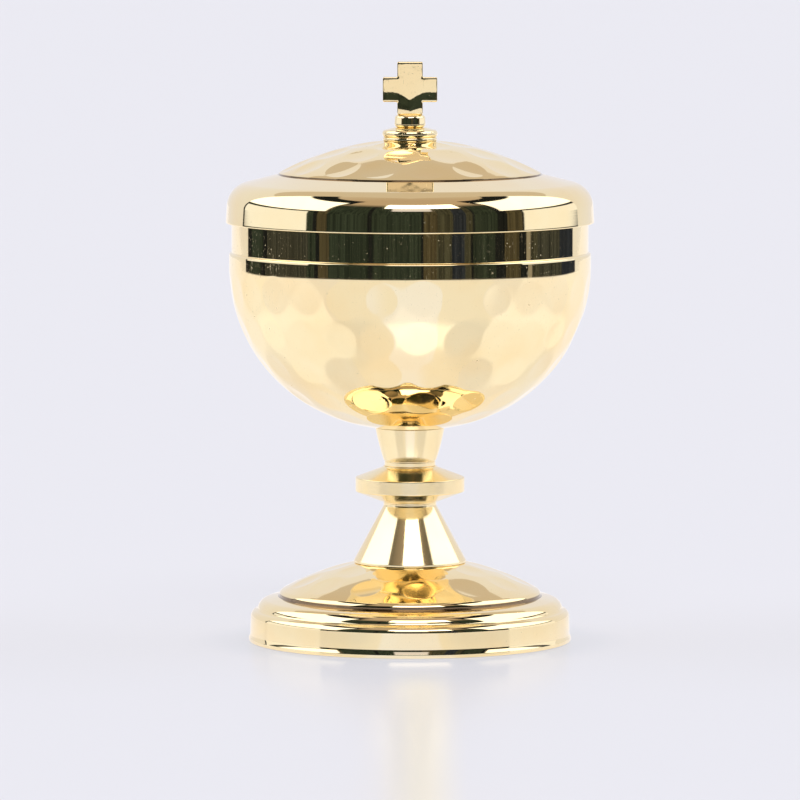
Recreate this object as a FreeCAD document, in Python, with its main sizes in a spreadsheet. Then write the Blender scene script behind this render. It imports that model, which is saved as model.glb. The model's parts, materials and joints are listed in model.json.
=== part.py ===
import FreeCAD
import Part
import Sketcher
import math
import os
from types import SimpleNamespace

# A covered ciborium in gold-plated brass, in millimetres, standing on z = 0 with its axis on +Z
# and the cross on its lid facing -Y. Foot, stem and cup are held together by one tie rod through
# the hollow stem; the lid is a loose cap over the cup's rim, with the cross screwed on through it.

DIMENSIONS = [
    # alias, value, what it is
    ("sheet", 0.9, "thickness of the spun sheet of foot, cup and lid"),
    ("seat_gap", 0.02, "gap left where a turned piece seats on a curved sheet"),
    ("thread_gap", 0.01, "gap between a thread and its hole"),
    ("edge", 0.25, "broken edge on turned pieces"),
    ("dome_radius", 42.75, "radius of the stepped edge of both hammered domes"),
    ("dome_flank", 41.6, "radius at which a dome starts to roll over its edge"),
    # foot
    ("foot_dome_arc", 86.0, "spherical radius of the foot's dome"),
    ("foot_dome_top", 27.4, "height of the dome's crown"),
    ("foot_dome_roll", 2.3, "radius of the roll over the dome's edge"),
    ("foot_step_top", 15.1, "height of the dome's edge"),
    ("foot_step", 14.5, "height of the shoulder at the dome's edge"),
    ("shoulder_radius", 46.9, "radius at which the shoulder starts its first roll"),
    ("shoulder_height", 13.6, "height there"),
    ("shoulder_roll", 3.6, "radius of the first roll"),
    ("cove_radius", 49.7, "radius at which the first roll meets the cove"),
    ("cove_height", 10.9, "height there"),
    ("cove", 1.0, "radius of the cove"),
    ("bead_radius", 50.5, "radius at which the cove meets the second roll"),
    ("bead_height", 10.1, "height there"),
    ("bead", 2.2, "radius of the second roll"),
    ("rim_radius", 52.0, "radius at the top of the upright rim"),
    ("rim_height", 8.0, "height of the upright rim"),
    ("rim_lean", 0.15, "how far the rim leans out towards its base"),
    ("flare_height", 2.4, "height at which the rim flares out"),
    ("flare", 8.0, "radius of the flare"),
    ("foot_radius", 52.6, "radius of the lip that the vessel stands on"),
    ("lip_height", 1.1, "height of the lip"),
    # tie rod and its fasteners
    ("rod_radius", 3.0, "M6 rod"),
    ("rod_hole", 3.25, "clearance hole for the rod"),
    ("rod_tail", 2.0, "length of rod below its nut"),
    ("rod_top", 67.0, "height of the rod's upper end, in the boss"),
    ("foot_washer_radius", 13.0, "radius of the plate washer under the dome"),
    ("foot_washer", 1.5, "its thickness"),
    ("foot_spring_radius", 5.6, "radius of the spring washer"),
    ("foot_spring", 1.4, "its thickness"),
    ("foot_nut_flats", 10.0, "width across the flats of the M6 nut"),
    ("foot_nut", 5.0, "its height"),
    ("slot", 0.9, "width of the slot in both spring washers"),
    # stem
    ("cone_foot_radius", 18.3, "radius of the stem cone's lower edge"),
    ("cone_lip", 0.75, "height of the upright edge there"),
    ("cone_wall", 1.9, "width of the ring that the cone stands on"),
    ("cone_top_radius", 8.6, "radius of the cone's top"),
    ("cone_top", 45.0, "height of the cone's top"),
    ("cone_neck", 0.8, "height of the upright neck there"),
    ("cone_cavity_radius", 8.2, "radius of the cone's cavity at its upper end"),
    ("cone_cavity_top", 41.0, "height of that end"),
    ("knop_radius", 17.75, "radius of the knop"),
    ("knop_neck_radius", 8.7, "radius where the knop meets its neighbours"),
    ("knop_neck", 0.3, "height of the upright neck at both its ends"),
    ("knop_rim_bottom", 48.8, "height of the knop's lower edge"),
    ("knop_rim_top", 53.3, "height of its upper edge"),
    ("knop_top", 57.1, "height of the knop's top face"),
    ("taper_band_radius", 8.3, "radius of the band at the taper's foot"),
    ("taper_band", 1.5, "height of that band"),
    ("taper_groove", 0.3, "depth and width of the groove above the band"),
    ("taper_foot_radius", 8.55, "radius of the taper above the groove"),
    ("taper_radius", 11.3, "radius of the taper's top"),
    ("taper_arc", 80.0, "radius of the taper's slightly swollen side"),
    ("pocket_radius", 7.7, "radius of the taper's pocket for the boss"),
    ("pocket_floor", 62.4, "height of the pocket's floor"),
    ("boss_radius", 7.5, "radius of the boss brazed under the cup"),
    ("boss_bottom", 62.9, "height of its underside"),
    ("boss_bore_top", 67.3, "height of the blind end of its threaded hole"),
    # cup
    ("cup_bottom", 68.75, "height of the cup's outside at the axis"),
    ("cup_base_arc", 76.0, "spherical radius of the cup's base"),
    ("cup_blend", 15.0, "slope in degrees at which the base turns into the side"),
    ("cup_side_arc", 52.87, "radius of the side's curve"),
    ("cup_radius", 58.86, "largest radius of the cup"),
    ("cup_step", 126.9, "height of the step under the plain collar"),
    ("cup_collar_radius", 58.05, "radius of the plain collar, which the lid covers"),
    ("cup_rim", 144.4, "height of the rim"),
    # lid
    ("lid_dome_arc", 90.0, "spherical radius of the lid's dome"),
    ("lid_dome_top", 163.5, "height of its crown"),
    ("lid_dome_roll", 5.3, "radius of the roll over the dome's edge"),
    ("lid_step_top", 152.5, "height of the dome's edge"),
    ("lid_slope", 14.0, "slope of the shoulder in degrees"),
    ("lid_turn", 8.0, "radius of the turn from shoulder to skirt"),
    ("lid_turn_radius", 51.6, "radius at which that turn is centred"),
    ("lid_turn_height", 141.75, "height at which it is centred"),
    ("skirt_lean", 3.6, "lean of the skirt from upright in degrees"),
    ("skirt_bottom", 136.5, "height of the skirt's lower edge"),
    # finial
    ("stud_radius", 1.5, "M3 stud"),
    ("stud_hole", 1.6, "clearance hole for the stud"),
    ("stud_tail", 2.2, "length of stud in the cap nut"),
    ("stud_head", 4.7, "length of stud in the cross"),
    ("seat_radius", 8.6, "radius of the ring under the flange, without its rounded edge"),
    ("seat_bead", 0.8, "radius of that rounded edge"),
    ("seat", 0.7, "height of the ring above the dome's crown"),
    ("flange_radius", 8.3, "radius of the flange, without its rounded edge"),
    ("flange_bead", 1.35, "radius of that rounded edge"),
    ("flange_rim", 2.4, "height of the flange at its edge"),
    ("flange", 3.2, "height of the flange at the collar"),
    ("collar_radius", 5.05, "radius of the collar under the cross"),
    ("collar", 4.1, "height of the collar"),
    ("collar_round", 1.1, "radius of its rounded edges"),
    ("cross_span", 17.7, "width across the arms"),
    ("cross_height", 17.3, "height of the cross"),
    ("cross_upright", 8.3, "width of the upright"),
    ("cross_arm", 8.1, "height of the arms"),
    ("cross_leg", 4.2, "height of the upright below the arms"),
    ("cross_thickness", 4.4, "thickness of the cross"),
    ("cross_corner", 0.45, "radius of its corners in the front view"),
    ("cross_bevel", 0.35, "width of the bevel round its faces"),
    ("lid_washer_radius", 6.0, "radius of the washer under the lid's dome"),
    ("lid_washer", 1.0, "its thickness"),
    ("lid_spring_radius", 2.9, "radius of the small spring washer"),
    ("lid_spring", 0.8, "its thickness"),
    ("cap_nut_flats", 6.0, "width across the flats of the cap nut"),
    ("cap_nut", 3.0, "height of its hexagon"),
    ("cap_nut_dome", 2.5, "radius of its domed end"),
]


NEARLY_ONE = 0.999  # the smallest cosine that counts as parallel


class Size:
    """A number together with the expression that ties it to the sheet of dimensions."""

    def __init__(self, value, text):
        self.value = value
        self.text = text

    def __add__(self, other):
        return Size(self.value + size(other).value, f"({self.text} + {size(other).text})")

    def __sub__(self, other):
        return Size(self.value - size(other).value, f"({self.text} - {size(other).text})")

    def __mul__(self, other):
        return Size(self.value * size(other).value, f"{self.text} * {size(other).text}")

    def __truediv__(self, other):
        return Size(self.value / size(other).value, f"{self.text} / {size(other).text}")

    def __neg__(self):
        return Size(-self.value, f"(-1 * {self.text})")


def size(number):
    return number if isinstance(number, Size) else Size(float(number), str(number))


def root(area):
    return Size(math.sqrt(area.value), f"sqrt({area.text})")


def sine(degrees):
    return Size(math.sin(math.radians(degrees.value)), f"sin({degrees.text})")


def cosine(degrees):
    return Size(math.cos(math.radians(degrees.value)), f"cos({degrees.text})")


def bind(thing, path, amount):
    """Sets a property to a size, and keeps it tied to the sheet."""
    thing.setExpression(path, size(amount).text)


def dimension_sheet():
    """The sheet of driving dimensions, and a Size for each of its cells."""
    sheet = doc.addObject("Spreadsheet::Sheet", "Sizes")
    for row, (alias, value, meaning) in enumerate(DIMENSIONS, start=1):
        sheet.set(f"A{row}", meaning)
        sheet.set(f"B{row}", str(value))
        sheet.setAlias(f"B{row}", alias)
    doc.recompute()
    return SimpleNamespace(**{alias: Size(value, f"Sizes.{alias}") for alias, value, meaning in DIMENSIONS})


def draw(sketch, outline, closed):
    """Draws the outline into the sketch and ties every point and radius to the sheet.

    Each entry is a point (across, up), or (across, up, radius) for an arc that arrives there: a
    positive radius turns left on its way, a negative one turns right.
    """
    steps = [tuple(size(number) for number in entry) for entry in outline]
    if closed:
        steps.append(steps[0][:2])
    starts = []
    for index in range(len(steps) - 1):
        radius = steps[index + 1][2] if len(steps[index + 1]) == 3 else None
        here = FreeCAD.Vector(steps[index][0].value, steps[index][1].value, 0)
        there = FreeCAD.Vector(steps[index + 1][0].value, steps[index + 1][1].value, 0)
        if radius is None:
            sketch.addGeometry(Part.LineSegment(here, there))
            starts.append(1)
            continue
        sketch.addGeometry(arc_between(here, there, radius.value))
        starts.append(1 if radius.value > 0 else 2)
        number = sketch.addConstraint(Sketcher.Constraint("Radius", index, abs(radius.value)))
        bind(sketch, f"Constraints[{number}]", radius if radius.value > 0 else -radius)
    count = len(starts)
    for index in range(count if closed else count - 1):
        following = (index + 1) % count
        ends = (index, 3 - starts[index], following, starts[following])
        sketch.addConstraint(Sketcher.Constraint("Coincident", *ends))
    places = [(index, starts[index], steps[index]) for index in range(count)]
    if not closed:
        places.append((count - 1, 3 - starts[-1], steps[-1]))
    for index, end, step in places:
        pin(sketch, "DistanceX", index, end, step[0])
        pin(sketch, "DistanceY", index, end, step[1])


def arc_between(here, there, radius):
    """The arc of less than a half turn that leads from one point to another."""
    chord = there - here
    reach = math.sqrt(radius ** 2 - (chord.Length / 2) ** 2)
    leftward = FreeCAD.Vector(-chord.y, chord.x, 0).normalize()
    centre = (here + there) / 2 + leftward * math.copysign(reach, radius)
    circle = Part.Circle(centre, FreeCAD.Vector(0, 0, 1), abs(radius))
    first, last = (here, there) if radius > 0 else (there, here)
    angles = [math.atan2(point.y - centre.y, point.x - centre.x) for point in (first, last)]
    return Part.ArcOfCircle(circle, *angles)


def pin(sketch, direction, index, end, amount):
    """Fixes a point's distance from an axis, or sets the point on that axis."""
    if amount.value == 0:
        axis = -2 if direction == "DistanceX" else -1
        sketch.addConstraint(Sketcher.Constraint("PointOnObject", index, end, axis))
        return
    number = sketch.addConstraint(Sketcher.Constraint(direction, -1, 1, index, end, amount.value))
    bind(sketch, f"Constraints[{number}]", amount)


def sketch_in(body, name, role, lift=None):
    """An empty sketch on one of the body's origin planes, lifted along its normal."""
    sketch = body.newObject("Sketcher::SketchObject", name)
    plane = [feature for feature in body.Origin.OriginFeatures if feature.Role == role][0]
    sketch.AttachmentSupport = [(plane, "")]
    sketch.MapMode = "FlatFace"
    if lift is not None:
        bind(sketch, "AttachmentOffset.Base.z", lift)
    return sketch


def turned(label, outline):
    """A solid turned about the axis from its half section, as (radius, height) points."""
    body = doc.addObject("PartDesign::Body", label)
    section = sketch_in(body, label + "_section", "XZ_Plane")
    draw(section, outline, closed=True)
    turning = body.newObject("PartDesign::Revolution", label + "_turning")
    turning.Profile = section
    turning.ReferenceAxis = (section, ["V_Axis"])
    turning.Angle = 360
    doc.recompute()
    return keep(body, label)


def spun(label, outline):
    """A shell spun from sheet: the outline is its outside, from the axis out, thickened inwards."""
    section = doc.addObject("Sketcher::SketchObject", label + "_outside")
    section.Placement.Rotation = FreeCAD.Rotation(FreeCAD.Vector(1, 0, 0), 90)
    draw(section, outline, closed=False)
    wall = doc.addObject("Part::Offset2D", label + "_wall")
    wall.Source = section
    wall.Mode = "Skin"
    wall.Join = "Arc"
    wall.Fill = True
    bind(wall, "Value", sizes.sheet)
    shell = doc.addObject("Part::Revolution", label)
    shell.Source = wall
    shell.Axis = FreeCAD.Vector(0, 0, 1)
    shell.Angle = 360
    shell.Solid = True
    doc.recompute()
    return keep(shell, label)


def cut_away(body, name, draw_outline, role, bottom, length):
    """Pockets the drawn outline out of a body, upwards from a height, and checks that it cut."""
    before = body.Shape.Volume
    sketch = sketch_in(body, name + "_outline", role, bottom)
    draw_outline(sketch)
    pocket = body.newObject("PartDesign::Pocket", name)
    pocket.Profile = sketch
    pocket.Type = "Length"
    pocket.Reversed = True
    bind(pocket, "Length", length)
    doc.recompute()
    if not body.Shape.Volume < before:
        raise SystemExit(f"{name} cuts nothing")


def keep(piece, label):
    """Marks a finished object as a sub-part, to be written under its label."""
    piece.Label = label
    sub_parts.append(piece)
    return piece


def sphere_height(crown, arc, radius):
    """Height at a radius of a sphere's upper cap whose crown and radius are given."""
    return crown - arc + root(arc * arc - radius * radius)


def ring(label, inner, outer, bottom, height):
    """A flat washer with broken outer edges."""
    top = bottom + height
    outline = [
        (inner, bottom),
        (outer - sizes.edge, bottom),
        (outer, bottom + sizes.edge),
        (outer, top - sizes.edge),
        (outer - sizes.edge, top),
        (inner, top),
    ]
    return turned(label, outline)


def spring_washer(label, inner, outer, bottom, height):
    """A split washer, closed flat."""
    washer = ring(label, inner, outer, bottom, height)

    def slot_outline(sketch):
        # from inside the bore to beyond the outer edge
        near, far = inner / 2, outer * 2
        half = sizes.slot / 2
        draw(sketch, [(near, -half), (far, -half), (far, half), (near, half)], closed=True)

    cut_away(washer, label + "_slot", slot_outline, "XY_Plane", bottom, height)


def cut_hexagon(body, name, flats, bottom, height):
    """Mills six flats: cuts away what lies outside a hexagon."""
    corner = flats / math.sqrt(3)

    def hexagon_outline(sketch):
        half = corner / 2
        points = [(corner, 0), (half, flats / 2), (-half, flats / 2)]
        points += [(-corner, 0), (-half, -flats / 2), (half, -flats / 2)]
        draw(sketch, points, closed=True)
        beyond = corner * 2
        circle = Part.Circle(FreeCAD.Vector(), FreeCAD.Vector(0, 0, 1), beyond.value)
        number = sketch.addGeometry(circle)
        sketch.addConstraint(Sketcher.Constraint("Coincident", number, 3, -1, 1))
        radius = sketch.addConstraint(Sketcher.Constraint("Radius", number, beyond.value))
        bind(sketch, f"Constraints[{radius}]", beyond)

    cut_away(body, name, hexagon_outline, "XY_Plane", bottom, height)


def foot_shell():
    """The spun foot: upright rim, two rolls, a step, and a hammered dome with the rod's hole."""
    s = sizes
    lean = s.rim_radius + s.rim_lean
    outline = [
        (s.rod_hole, sphere_height(s.foot_dome_top, s.foot_dome_arc, s.rod_hole)),
        (s.dome_flank, sphere_height(s.foot_dome_top, s.foot_dome_arc, s.dome_flank), -s.foot_dome_arc),
        (s.dome_radius, s.foot_step_top, -s.foot_dome_roll),
        (s.dome_radius, s.foot_step),
        (s.shoulder_radius, s.shoulder_height),
        (s.cove_radius, s.cove_height, -s.shoulder_roll),
        (s.bead_radius, s.bead_height, s.cove),
        (s.rim_radius, s.rim_height, -s.bead),
        (lean, s.flare_height),
        (s.foot_radius, s.lip_height, s.flare),
        (s.foot_radius, size(0)),
    ]
    spun("foot_shell", outline)


def foot_fasteners():
    """Under the foot's dome: plate washer, spring washer and nut on the tie rod."""
    s = sizes
    inside = sphere_height(s.foot_dome_top - s.sheet, s.foot_dome_arc - s.sheet, s.foot_washer_radius)
    washer_bottom = inside - s.seat_gap - s.foot_washer
    spring_bottom = washer_bottom - s.foot_spring
    nut_bottom = spring_bottom - s.foot_nut
    ring("foot_washer", s.rod_hole, s.foot_washer_radius, washer_bottom, s.foot_washer)
    spring_washer("foot_spring_washer", s.rod_hole, s.foot_spring_radius, spring_bottom, s.foot_spring)
    hexagon_nut("foot_nut", s.rod_radius + s.thread_gap, s.foot_nut_flats, nut_bottom, s.foot_nut)
    tie_rod(nut_bottom - s.rod_tail)


def hexagon_nut(label, bore, flats, bottom, height):
    """A nut turned with sloping corners and then milled to its flats."""
    corner = flats / math.sqrt(3)
    slope = (corner - flats / 2) / 2
    top = bottom + height
    outline = [
        (bore, bottom),
        (flats / 2, bottom),
        (corner, bottom + slope),
        (corner, top - slope),
        (flats / 2, top),
        (bore, top),
    ]
    nut = turned(label, outline)
    cut_hexagon(nut, label + "_flats", flats, bottom, height)


def tie_rod(bottom):
    """The threaded rod that clamps foot, stem and cup together."""
    s = sizes
    outline = [
        (0, bottom),
        (s.rod_radius - s.edge, bottom),
        (s.rod_radius, bottom + s.edge),
        (s.rod_radius, s.rod_top - s.edge),
        (s.rod_radius - s.edge, s.rod_top),
        (0, s.rod_top),
    ]
    turned("tie_rod", outline)


def stem_cone():
    """The hollow cone that stands on the foot's dome."""
    s = sizes
    seat = s.foot_dome_arc + s.seat_gap
    crown = s.foot_dome_top + s.seat_gap
    inner = s.cone_foot_radius - s.cone_wall
    outer_height = sphere_height(crown, seat, s.cone_foot_radius)
    outline = [
        (inner, sphere_height(crown, seat, inner)),
        (s.cone_foot_radius, outer_height, -seat),
        (s.cone_foot_radius, outer_height + s.cone_lip),
        (s.cone_top_radius, s.cone_top - s.cone_neck),
        (s.cone_top_radius, s.cone_top),
        (s.rod_hole, s.cone_top),
        (s.rod_hole, s.cone_cavity_top),
        (s.cone_cavity_radius, s.cone_cavity_top),
    ]
    turned("stem_cone", outline)


def knop():
    """The disc in the middle of the stem, with a cone above and below it."""
    s = sizes
    outline = [
        (s.rod_hole, s.cone_top),
        (s.knop_neck_radius, s.cone_top),
        (s.knop_neck_radius, s.cone_top + s.knop_neck),
        (s.knop_radius, s.knop_rim_bottom),
        (s.knop_radius, s.knop_rim_top),
        (s.knop_neck_radius, s.knop_top - s.knop_neck),
        (s.knop_neck_radius, s.knop_top),
        (s.rod_hole, s.knop_top),
    ]
    turned("knop", outline)


def cup_underside(radius):
    """Height at a radius of the cup's base, which is part of a sphere, less the seat's gap."""
    s = sizes
    arc = s.cup_base_arc + s.seat_gap
    return s.cup_bottom - s.seat_gap + arc - root(arc * arc - radius * radius)


def stem_taper():
    """The flaring upper stem, whose pocket takes the cup's boss."""
    s = sizes
    band_top = s.knop_top + s.taper_band
    groove = s.taper_band_radius - s.taper_groove
    outline = [
        (s.rod_hole, s.knop_top),
        (s.taper_band_radius, s.knop_top),
        (s.taper_band_radius, band_top),
        (groove, band_top),
        (groove, band_top + s.taper_groove),
        (s.taper_foot_radius, band_top + s.taper_groove),
        (s.taper_radius, cup_underside(s.taper_radius), s.taper_arc),
        (s.pocket_radius, cup_underside(s.pocket_radius), -(s.cup_base_arc + s.seat_gap)),
        (s.pocket_radius, s.pocket_floor),
        (s.rod_hole, s.pocket_floor),
    ]
    turned("stem_taper", outline)


def cup_boss():
    """The threaded boss brazed under the cup, which the tie rod screws into."""
    s = sizes
    bore = s.rod_radius + s.thread_gap
    outline = [
        (bore, s.boss_bottom),
        (s.boss_radius - s.edge, s.boss_bottom),
        (s.boss_radius, s.boss_bottom + s.edge),
        (s.boss_radius, cup_underside(s.boss_radius)),
        (0, s.cup_bottom - s.seat_gap, -(s.cup_base_arc + s.seat_gap)),
        (0, s.boss_bore_top),
        (bore, s.boss_bore_top),
    ]
    turned("cup_boss", outline)


def cup_bowl():
    """The hammered bowl: a shallow base, a round side, an upright band and the plain collar."""
    s = sizes
    blend_radius = s.cup_base_arc * sine(s.cup_blend)
    blend_height = s.cup_bottom + s.cup_base_arc - s.cup_base_arc * cosine(s.cup_blend)
    band_bottom = blend_height + s.cup_side_arc * cosine(s.cup_blend)
    outline = [
        (size(0), s.cup_bottom),
        (blend_radius, blend_height, s.cup_base_arc),
        (s.cup_radius, band_bottom, s.cup_side_arc),
        (s.cup_radius, s.cup_step),
        (s.cup_collar_radius, s.cup_step),
        (s.cup_collar_radius, s.cup_rim),
    ]
    spun("cup_bowl", outline)


def lid_shell():
    """The lid: a hammered dome, a step, a sloping shoulder and a skirt that leans out."""
    s = sizes
    shoulder_end = s.lid_turn_radius + s.lid_turn * sine(s.lid_slope)
    shoulder_height = s.lid_turn_height + s.lid_turn * cosine(s.lid_slope)
    rise = (shoulder_end - s.dome_radius) * sine(s.lid_slope) / cosine(s.lid_slope)
    skirt_radius = s.lid_turn_radius + s.lid_turn * cosine(s.skirt_lean)
    skirt_top = s.lid_turn_height + s.lid_turn * sine(s.skirt_lean)
    flare = (skirt_top - s.skirt_bottom) * sine(s.skirt_lean) / cosine(s.skirt_lean)
    outline = [
        (s.stud_hole, sphere_height(s.lid_dome_top, s.lid_dome_arc, s.stud_hole)),
        (s.dome_flank, sphere_height(s.lid_dome_top, s.lid_dome_arc, s.dome_flank), -s.lid_dome_arc),
        (s.dome_radius, s.lid_step_top, -s.lid_dome_roll),
        (s.dome_radius, shoulder_height + rise),
        (shoulder_end, shoulder_height),
        (skirt_radius, skirt_top, -s.lid_turn),
        (skirt_radius + flare, s.skirt_bottom),
    ]
    spun("lid_shell", outline)


def finial():
    """On the lid's crown: seat ring, flange and collar, which the stud runs through."""
    s = sizes
    seat_arc = s.lid_dome_arc + s.seat_gap
    crown = s.lid_dome_top + s.seat_gap
    seat_top = s.lid_dome_top + s.seat
    seat_outline = [
        (s.stud_hole, sphere_height(crown, seat_arc, s.stud_hole)),
        (s.seat_radius, sphere_height(crown, seat_arc, s.seat_radius), -seat_arc),
        (s.seat_radius, seat_top, s.seat_bead),
        (s.stud_hole, seat_top),
    ]
    turned("finial_seat", seat_outline)
    flange_top = seat_top + s.flange
    flange_outline = [
        (s.stud_hole, seat_top),
        (s.flange_radius, seat_top),
        (s.flange_radius, seat_top + s.flange_rim, s.flange_bead),
        (s.collar_radius, flange_top),
        (s.stud_hole, flange_top),
    ]
    turned("finial_flange", flange_outline)
    collar_top = flange_top + s.collar
    waist = s.collar_radius - s.collar_round
    collar_outline = [
        (s.stud_hole, flange_top),
        (waist, flange_top),
        (s.collar_radius, flange_top + s.collar_round, s.collar_round),
        (s.collar_radius, collar_top - s.collar_round),
        (waist, collar_top, s.collar_round),
        (s.stud_hole, collar_top),
    ]
    turned("finial_collar", collar_outline)
    cross(collar_top)
    return collar_top


def cross(bottom):
    """The cross, with a blind threaded hole for the stud in its foot."""
    s = sizes
    upright, span = s.cross_upright / 2, s.cross_span / 2
    arm_bottom = bottom + s.cross_leg
    arm_top = arm_bottom + s.cross_arm
    top = bottom + s.cross_height
    right = [(upright, bottom), (upright, arm_bottom), (span, arm_bottom), (span, arm_top)]
    right += [(upright, arm_top), (upright, top)]
    left = [(-across, up) for across, up in reversed(right)]
    body = doc.addObject("PartDesign::Body", "cross")
    face = sketch_in(body, "cross_face", "XZ_Plane")
    draw(face, right + left, closed=True)
    plate = body.newObject("PartDesign::Pad", "cross_plate")
    plate.Profile = face
    plate.SideType = "Symmetric"
    bind(plate, "Length", s.cross_thickness)
    doc.recompute()
    corners = body.newObject("PartDesign::Fillet", "cross_corners")
    corners.Base = (plate, edges_where(plate, lambda edge: is_along(edge, "y")))
    bind(corners, "Radius", s.cross_corner)
    doc.recompute()
    bevel = body.newObject("PartDesign::Chamfer", "cross_bevels")
    bevel.Base = (corners, edges_where(corners, lambda edge: not is_along(edge, "y")))
    bind(bevel, "Size", s.cross_bevel)
    doc.recompute()
    before = bevel.Shape.Volume
    section = sketch_in(body, "cross_hole_section", "XZ_Plane")
    bore = s.stud_radius + s.thread_gap
    depth = bottom + s.stud_head + s.stud_radius
    draw(section, [(0, bottom), (bore, bottom), (bore, depth - bore), (0, depth)], closed=True)
    hole = body.newObject("PartDesign::Groove", "cross_hole")
    hole.Profile = section
    hole.ReferenceAxis = (section, ["V_Axis"])
    hole.Angle = 360
    doc.recompute()
    if not body.Shape.Volume < before:
        raise SystemExit("the cross has no hole for its stud")
    keep(body, "cross")


def is_along(edge, axis):
    """Whether an edge is straight and runs along an axis."""
    if type(edge.Curve).__name__ != "Line":
        return False
    return abs(getattr(edge.Curve.Direction, axis)) > NEARLY_ONE


def edges_where(feature, wanted):
    edges = enumerate(feature.Shape.Edges, start=1)
    return [f"Edge{number}" for number, edge in edges if wanted(edge)]


def lid_fasteners(cross_bottom):
    """Inside the lid: washer, spring washer and cap nut on the stud that holds the finial."""
    s = sizes
    inside = sphere_height(s.lid_dome_top - s.sheet, s.lid_dome_arc - s.sheet, s.lid_washer_radius)
    washer_bottom = inside - s.seat_gap - s.lid_washer
    spring_bottom = washer_bottom - s.lid_spring
    ring("lid_washer", s.stud_hole, s.lid_washer_radius, washer_bottom, s.lid_washer)
    spring_washer("lid_spring_washer", s.stud_hole, s.lid_spring_radius, spring_bottom, s.lid_spring)
    cap_nut(spring_bottom)
    bottom = spring_bottom - s.stud_tail
    top = cross_bottom + s.stud_head
    outline = [
        (0, bottom),
        (s.stud_radius - s.edge, bottom),
        (s.stud_radius, bottom + s.edge),
        (s.stud_radius, top - s.edge),
        (s.stud_radius - s.edge, top),
        (0, top),
    ]
    turned("finial_stud", outline)


def cap_nut(top):
    """The domed nut inside the lid."""
    s = sizes
    bore = s.stud_radius + s.thread_gap
    corner = s.cap_nut_flats / math.sqrt(3)
    slope = (corner - s.cap_nut_flats / 2) / 2
    bottom = top - s.cap_nut
    outline = [
        (0, bottom - s.cap_nut_dome),
        (s.cap_nut_dome, bottom, s.cap_nut_dome),
        (s.cap_nut_flats / 2, bottom),
        (corner, bottom + slope),
        (corner, top - slope),
        (s.cap_nut_flats / 2, top),
        (bore, top),
        (bore, bottom),
        (0, bottom),
    ]
    nut = turned("lid_cap_nut", outline)
    cut_hexagon(nut, "lid_cap_nut_flats", s.cap_nut_flats, bottom, s.cap_nut)


def check_document():
    """Stops if any object failed, or a sub-part is not exactly one valid solid."""
    for thing in doc.Objects:
        if "Invalid" in thing.State or "Error" in thing.State:
            raise SystemExit(f"{thing.Name} failed: {thing.State}")
    for piece in sub_parts:
        shape = piece.Shape
        if shape.isNull() or not shape.isValid() or len(shape.Solids) != 1 or shape.Volume <= 0:
            raise SystemExit(f"{piece.Label} is not one valid solid")


def write_parts():
    os.makedirs("parts", exist_ok=True)
    for piece in sub_parts:
        piece.Shape.exportStep(f"parts/{piece.Label}.step")
        box = piece.Shape.BoundBox
        heights = f"z {box.ZMin:.2f} to {box.ZMax:.2f}"
        print(f"{piece.Label}: {piece.Shape.Volume:.1f} mm3, radius {box.XMax:.2f}, {heights}")


doc = FreeCAD.newDocument("ciborium")
sizes = dimension_sheet()
sub_parts = []
foot_shell()
foot_fasteners()
stem_cone()
knop()
stem_taper()
cup_boss()
cup_bowl()
lid_shell()
lid_fasteners(finial())
doc.recompute()
check_document()
write_parts()
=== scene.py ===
import json
import math
import random

import bmesh
import bpy
import numpy as np
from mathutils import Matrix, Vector
from mathutils.noise import noise as noise_at

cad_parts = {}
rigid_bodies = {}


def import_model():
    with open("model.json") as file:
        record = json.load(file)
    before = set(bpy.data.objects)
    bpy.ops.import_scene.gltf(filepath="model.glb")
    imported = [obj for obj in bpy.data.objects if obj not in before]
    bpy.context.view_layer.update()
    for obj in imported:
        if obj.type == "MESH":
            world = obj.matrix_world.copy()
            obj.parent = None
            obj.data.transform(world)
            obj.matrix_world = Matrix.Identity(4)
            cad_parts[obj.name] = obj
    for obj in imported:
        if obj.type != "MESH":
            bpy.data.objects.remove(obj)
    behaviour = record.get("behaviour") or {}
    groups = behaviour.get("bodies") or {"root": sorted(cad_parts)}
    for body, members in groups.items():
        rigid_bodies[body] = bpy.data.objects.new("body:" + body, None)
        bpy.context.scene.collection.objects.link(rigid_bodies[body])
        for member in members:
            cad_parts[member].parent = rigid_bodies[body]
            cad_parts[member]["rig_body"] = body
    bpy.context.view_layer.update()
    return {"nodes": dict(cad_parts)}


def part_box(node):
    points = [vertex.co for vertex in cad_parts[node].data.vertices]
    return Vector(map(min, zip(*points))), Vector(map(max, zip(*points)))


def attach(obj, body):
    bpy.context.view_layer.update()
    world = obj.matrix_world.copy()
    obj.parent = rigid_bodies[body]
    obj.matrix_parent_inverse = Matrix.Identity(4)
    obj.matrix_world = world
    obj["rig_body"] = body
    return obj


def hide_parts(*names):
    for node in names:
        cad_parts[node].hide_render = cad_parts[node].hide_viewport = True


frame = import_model()

# A covered ciborium in polished gold plate. Every spun or turned piece is lathed again here as a
# finer mesh on the CAD piece's own outline, with the hammer marks pressed into its surface.

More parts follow.
